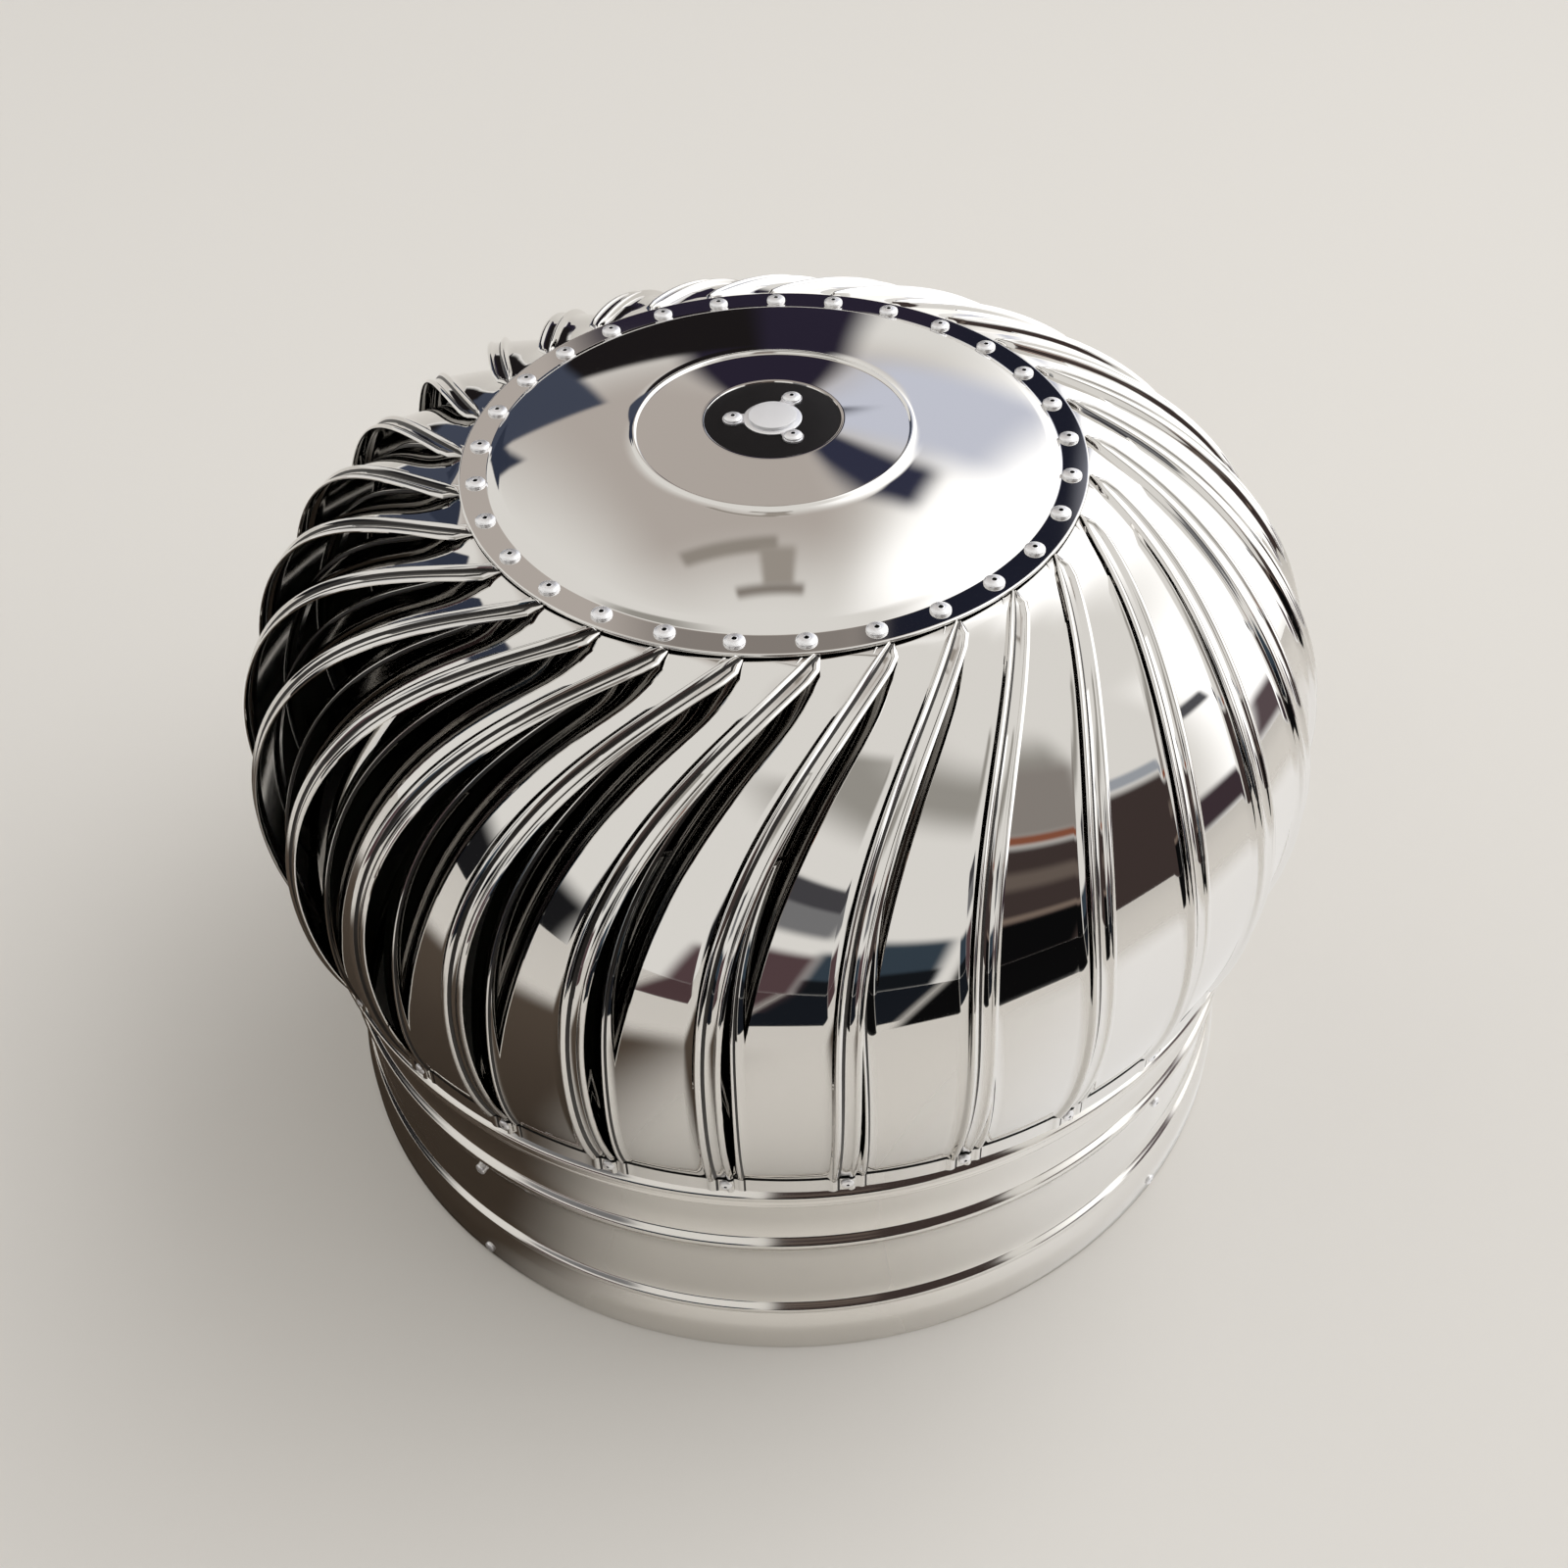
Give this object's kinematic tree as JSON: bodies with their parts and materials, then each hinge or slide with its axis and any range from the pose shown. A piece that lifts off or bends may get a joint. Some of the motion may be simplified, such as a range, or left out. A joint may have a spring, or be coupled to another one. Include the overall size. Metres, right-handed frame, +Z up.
{
  "type": "turbine ventilator",
  "caption": "Wind-driven roof turbine ventilator: a globe of curved overlapping vanes under a domed cap, turning on a fixed shaft above a banded round throat.",
  "frame": {"origin": "middle of the throat's open bottom rim, on the plane that the rim stands on", "axes": "+Z up along the shaft, which the rotor turns about; +X and +Y lie in the rim's plane, with -Y towards the side that the picture shows"},
  "size_m": [0.5435, 0.5437, 0.4024],
  "materials": {
    "polished_sheet": "mirror-polished stainless sheet",
    "neck_sheet": "bright rolled stainless sheet",
    "rivet_aluminium": "bright blind-rivet heads",
    "gasket_rubber": "black rubber gasket",
    "housing_steel": "bright plated pressing",
    "bearing_steel": "ground bearing steel",
    "bracket_steel": "satin zinc-plated flat steel",
    "shaft_steel": "turned bright steel"
  },
  "bodies": {
    "base": {"neck": "neck_sheet", "neck_rivets": "rivet_aluminium", "bracket_bar_lower": "bracket_steel", "bracket_bar_upper": "bracket_steel", "shaft": "shaft_steel", "shaft_nut_lower": "shaft_steel", "shaft_nut_upper": "shaft_steel", "shaft_washer_lower": "shaft_steel", "shaft_washer_upper": "shaft_steel", "shaft_circlip": "shaft_steel", "top_bearing_inner_ring": "bearing_steel", "lower_bearing_inner_ring": "bearing_steel"},
    "rotor": {"top_cap": "polished_sheet", "cap_rivets": "rivet_aluminium", "hub_pad": "gasket_rubber", "top_bearing_housing": "housing_steel", "hub_rivets": "rivet_aluminium", "top_bearing_outer_ring": "bearing_steel", "vane_01": "polished_sheet", "vane_02": "polished_sheet", "vane_03": "polished_sheet", "vane_04": "polished_sheet", "vane_05": "polished_sheet", "vane_06": "polished_sheet", "vane_07": "polished_sheet", "vane_08": "polished_sheet", "vane_09": "polished_sheet", "vane_10": "polished_sheet", "vane_11": "polished_sheet", "vane_12": "polished_sheet", "vane_13": "polished_sheet", "vane_14": "polished_sheet", "vane_15": "polished_sheet", "vane_16": "polished_sheet", "vane_17": "polished_sheet", "vane_18": "polished_sheet", "vane_19": "polished_sheet", "vane_20": "polished_sheet", "vane_21": "polished_sheet", "vane_22": "polished_sheet", "vane_23": "polished_sheet", "vane_24": "polished_sheet", "vane_25": "polished_sheet", "vane_26": "polished_sheet", "vane_27": "polished_sheet", "vane_28": "polished_sheet", "vane_29": "polished_sheet", "lower_ring": "neck_sheet", "ring_rivets": "rivet_aluminium", "lower_spider": "bracket_steel", "lower_bearing_housing": "housing_steel", "lower_bearing_outer_ring": "bearing_steel", "lower_hub_rivets": "rivet_aluminium"}
  },
  "joints": [
    {"name": "rotor_spin", "type": "hinge", "parent": "base", "child": "rotor", "pos_m": [0, 0, 0.146], "axis": [0, 0, 1], "continuous": true}
  ]
}
